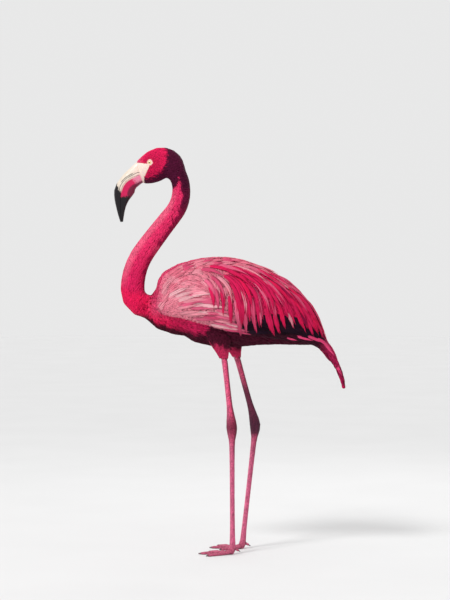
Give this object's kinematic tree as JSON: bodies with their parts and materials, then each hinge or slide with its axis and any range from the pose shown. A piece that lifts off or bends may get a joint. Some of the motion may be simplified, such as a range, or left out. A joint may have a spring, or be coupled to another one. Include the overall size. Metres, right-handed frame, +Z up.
{
  "type": "american flamingo, life-size animal",
  "caption": "Adult American flamingo standing still on both webbed feet, neck in a relaxed S, wings folded; life-size still model of the animal.",
  "frame": {"origin": "on the floor, under the middle of the whole bird's bounding box", "axes": "+Z up; the bird faces -Y; its left side is +X"},
  "size_m": [0.2014, 0.5879, 1.0309],
  "materials": {
    "plumage": "matt crimson-pink feathers",
    "plumage_pale": "matt rose-pink feathers",
    "plumage_dark": "matt deep carmine feathers",
    "leg_skin": "satin scaly pink skin",
    "bill_pale": "smooth pale horn",
    "bill_dark": "smooth black horn",
    "eye": "wet gloss",
    "claw": "satin dark horn"
  },
  "bodies": {
    "root": {"head": "plumage", "neck_upper": "plumage", "neck_middle": "plumage", "neck_lower": "plumage", "trunk": "plumage_pale", "tail": "plumage_dark", "wing_left": "plumage_pale", "wing_right": "plumage_pale", "bill_upper": "bill_pale", "bill_lower": "bill_dark", "eye_left": "eye", "eye_right": "eye", "thigh_left": "plumage", "thigh_right": "plumage", "shank_left": "leg_skin", "shank_right": "leg_skin", "ankle_left": "leg_skin", "ankle_right": "leg_skin", "tarsus_left": "leg_skin", "tarsus_right": "leg_skin", "foot_left": "leg_skin", "foot_right": "leg_skin", "claw_inner_left": "claw", "claw_middle_left": "claw", "claw_outer_left": "claw", "claw_hind_left": "claw", "claw_inner_right": "claw", "claw_middle_right": "claw", "claw_outer_right": "claw", "claw_hind_right": "claw"}
  },
  "joints": []
}
